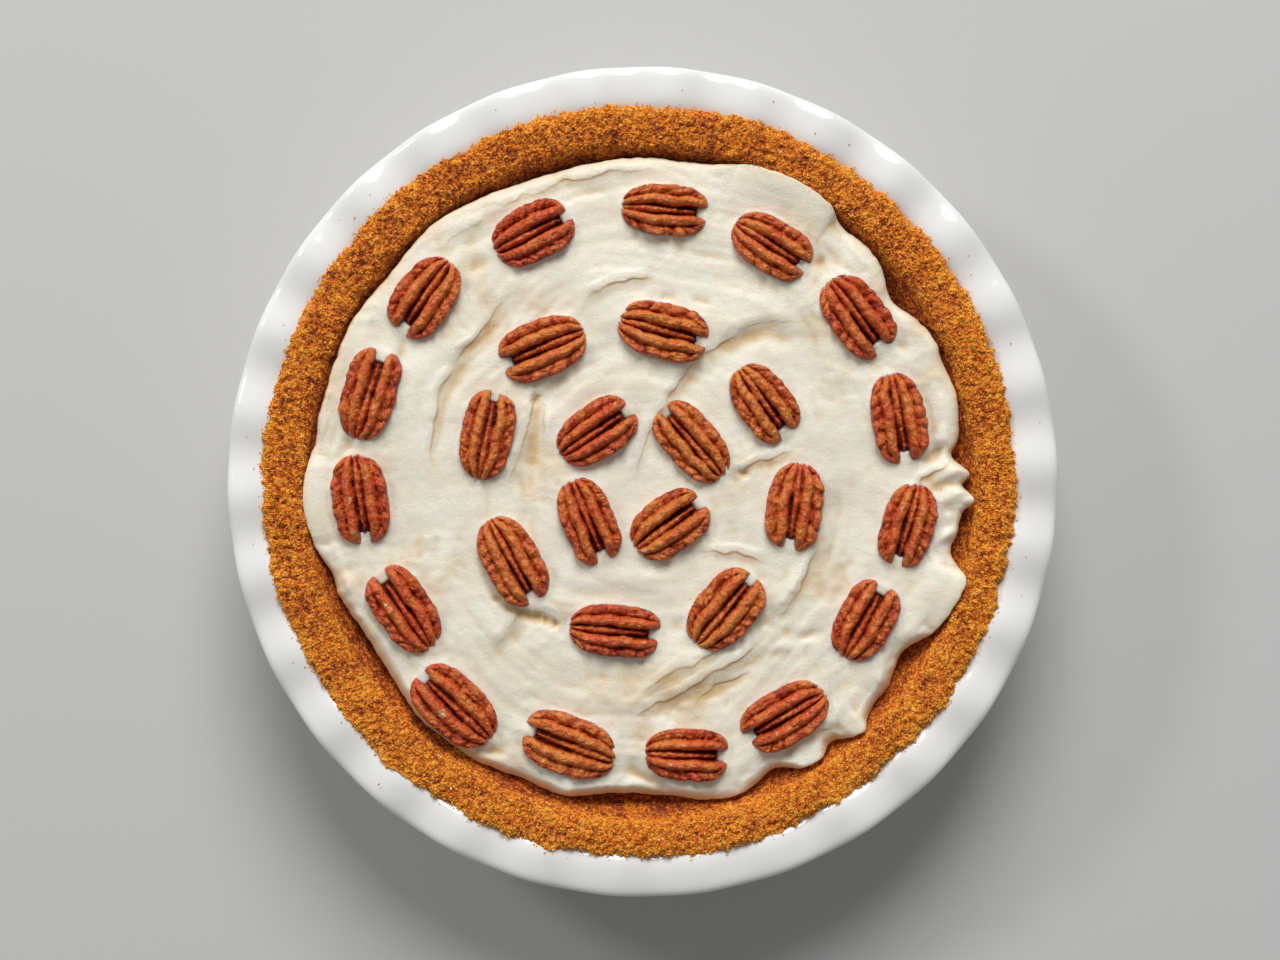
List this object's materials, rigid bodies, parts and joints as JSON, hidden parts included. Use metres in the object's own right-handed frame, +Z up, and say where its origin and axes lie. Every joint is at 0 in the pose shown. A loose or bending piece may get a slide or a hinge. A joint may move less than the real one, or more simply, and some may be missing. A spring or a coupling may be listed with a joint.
{
  "type": "possum pie",
  "caption": "Round cream pie in its own white dish with a fluted rim: a crumb crust filled with folded whipped cream and topped with pecan halves in rings.",
  "frame": {"origin": "middle of the dish's foot, on the surface it stands on", "axes": "+Z up, out of the open top; +X to the right and +Y away as the pie is looked at from its front edge"},
  "size_m": [0.268, 0.268, 0.0529],
  "materials": {
    "dish_glaze": "glossy white glaze on stoneware",
    "crumb_crust": "rough golden-brown pressed crumbs; stands in for baked food",
    "whipped_cream": "soft satin ivory cream; stands in for food",
    "pecan": "satin reddish-brown nut skin; stands in for food"
  },
  "bodies": {
    "root": {"dish": "dish_glaze", "crust": "crumb_crust", "cream": "whipped_cream", "pecan_01": "pecan", "pecan_02": "pecan", "pecan_03": "pecan", "pecan_04": "pecan", "pecan_05": "pecan", "pecan_06": "pecan", "pecan_07": "pecan", "pecan_08": "pecan", "pecan_09": "pecan", "pecan_10": "pecan", "pecan_11": "pecan", "pecan_12": "pecan", "pecan_13": "pecan", "pecan_14": "pecan", "pecan_15": "pecan", "pecan_16": "pecan", "pecan_17": "pecan", "pecan_18": "pecan", "pecan_19": "pecan", "pecan_20": "pecan", "pecan_21": "pecan", "pecan_22": "pecan", "pecan_23": "pecan", "pecan_24": "pecan", "pecan_25": "pecan", "pecan_26": "pecan", "pecan_27": "pecan"}
  },
  "joints": []
}
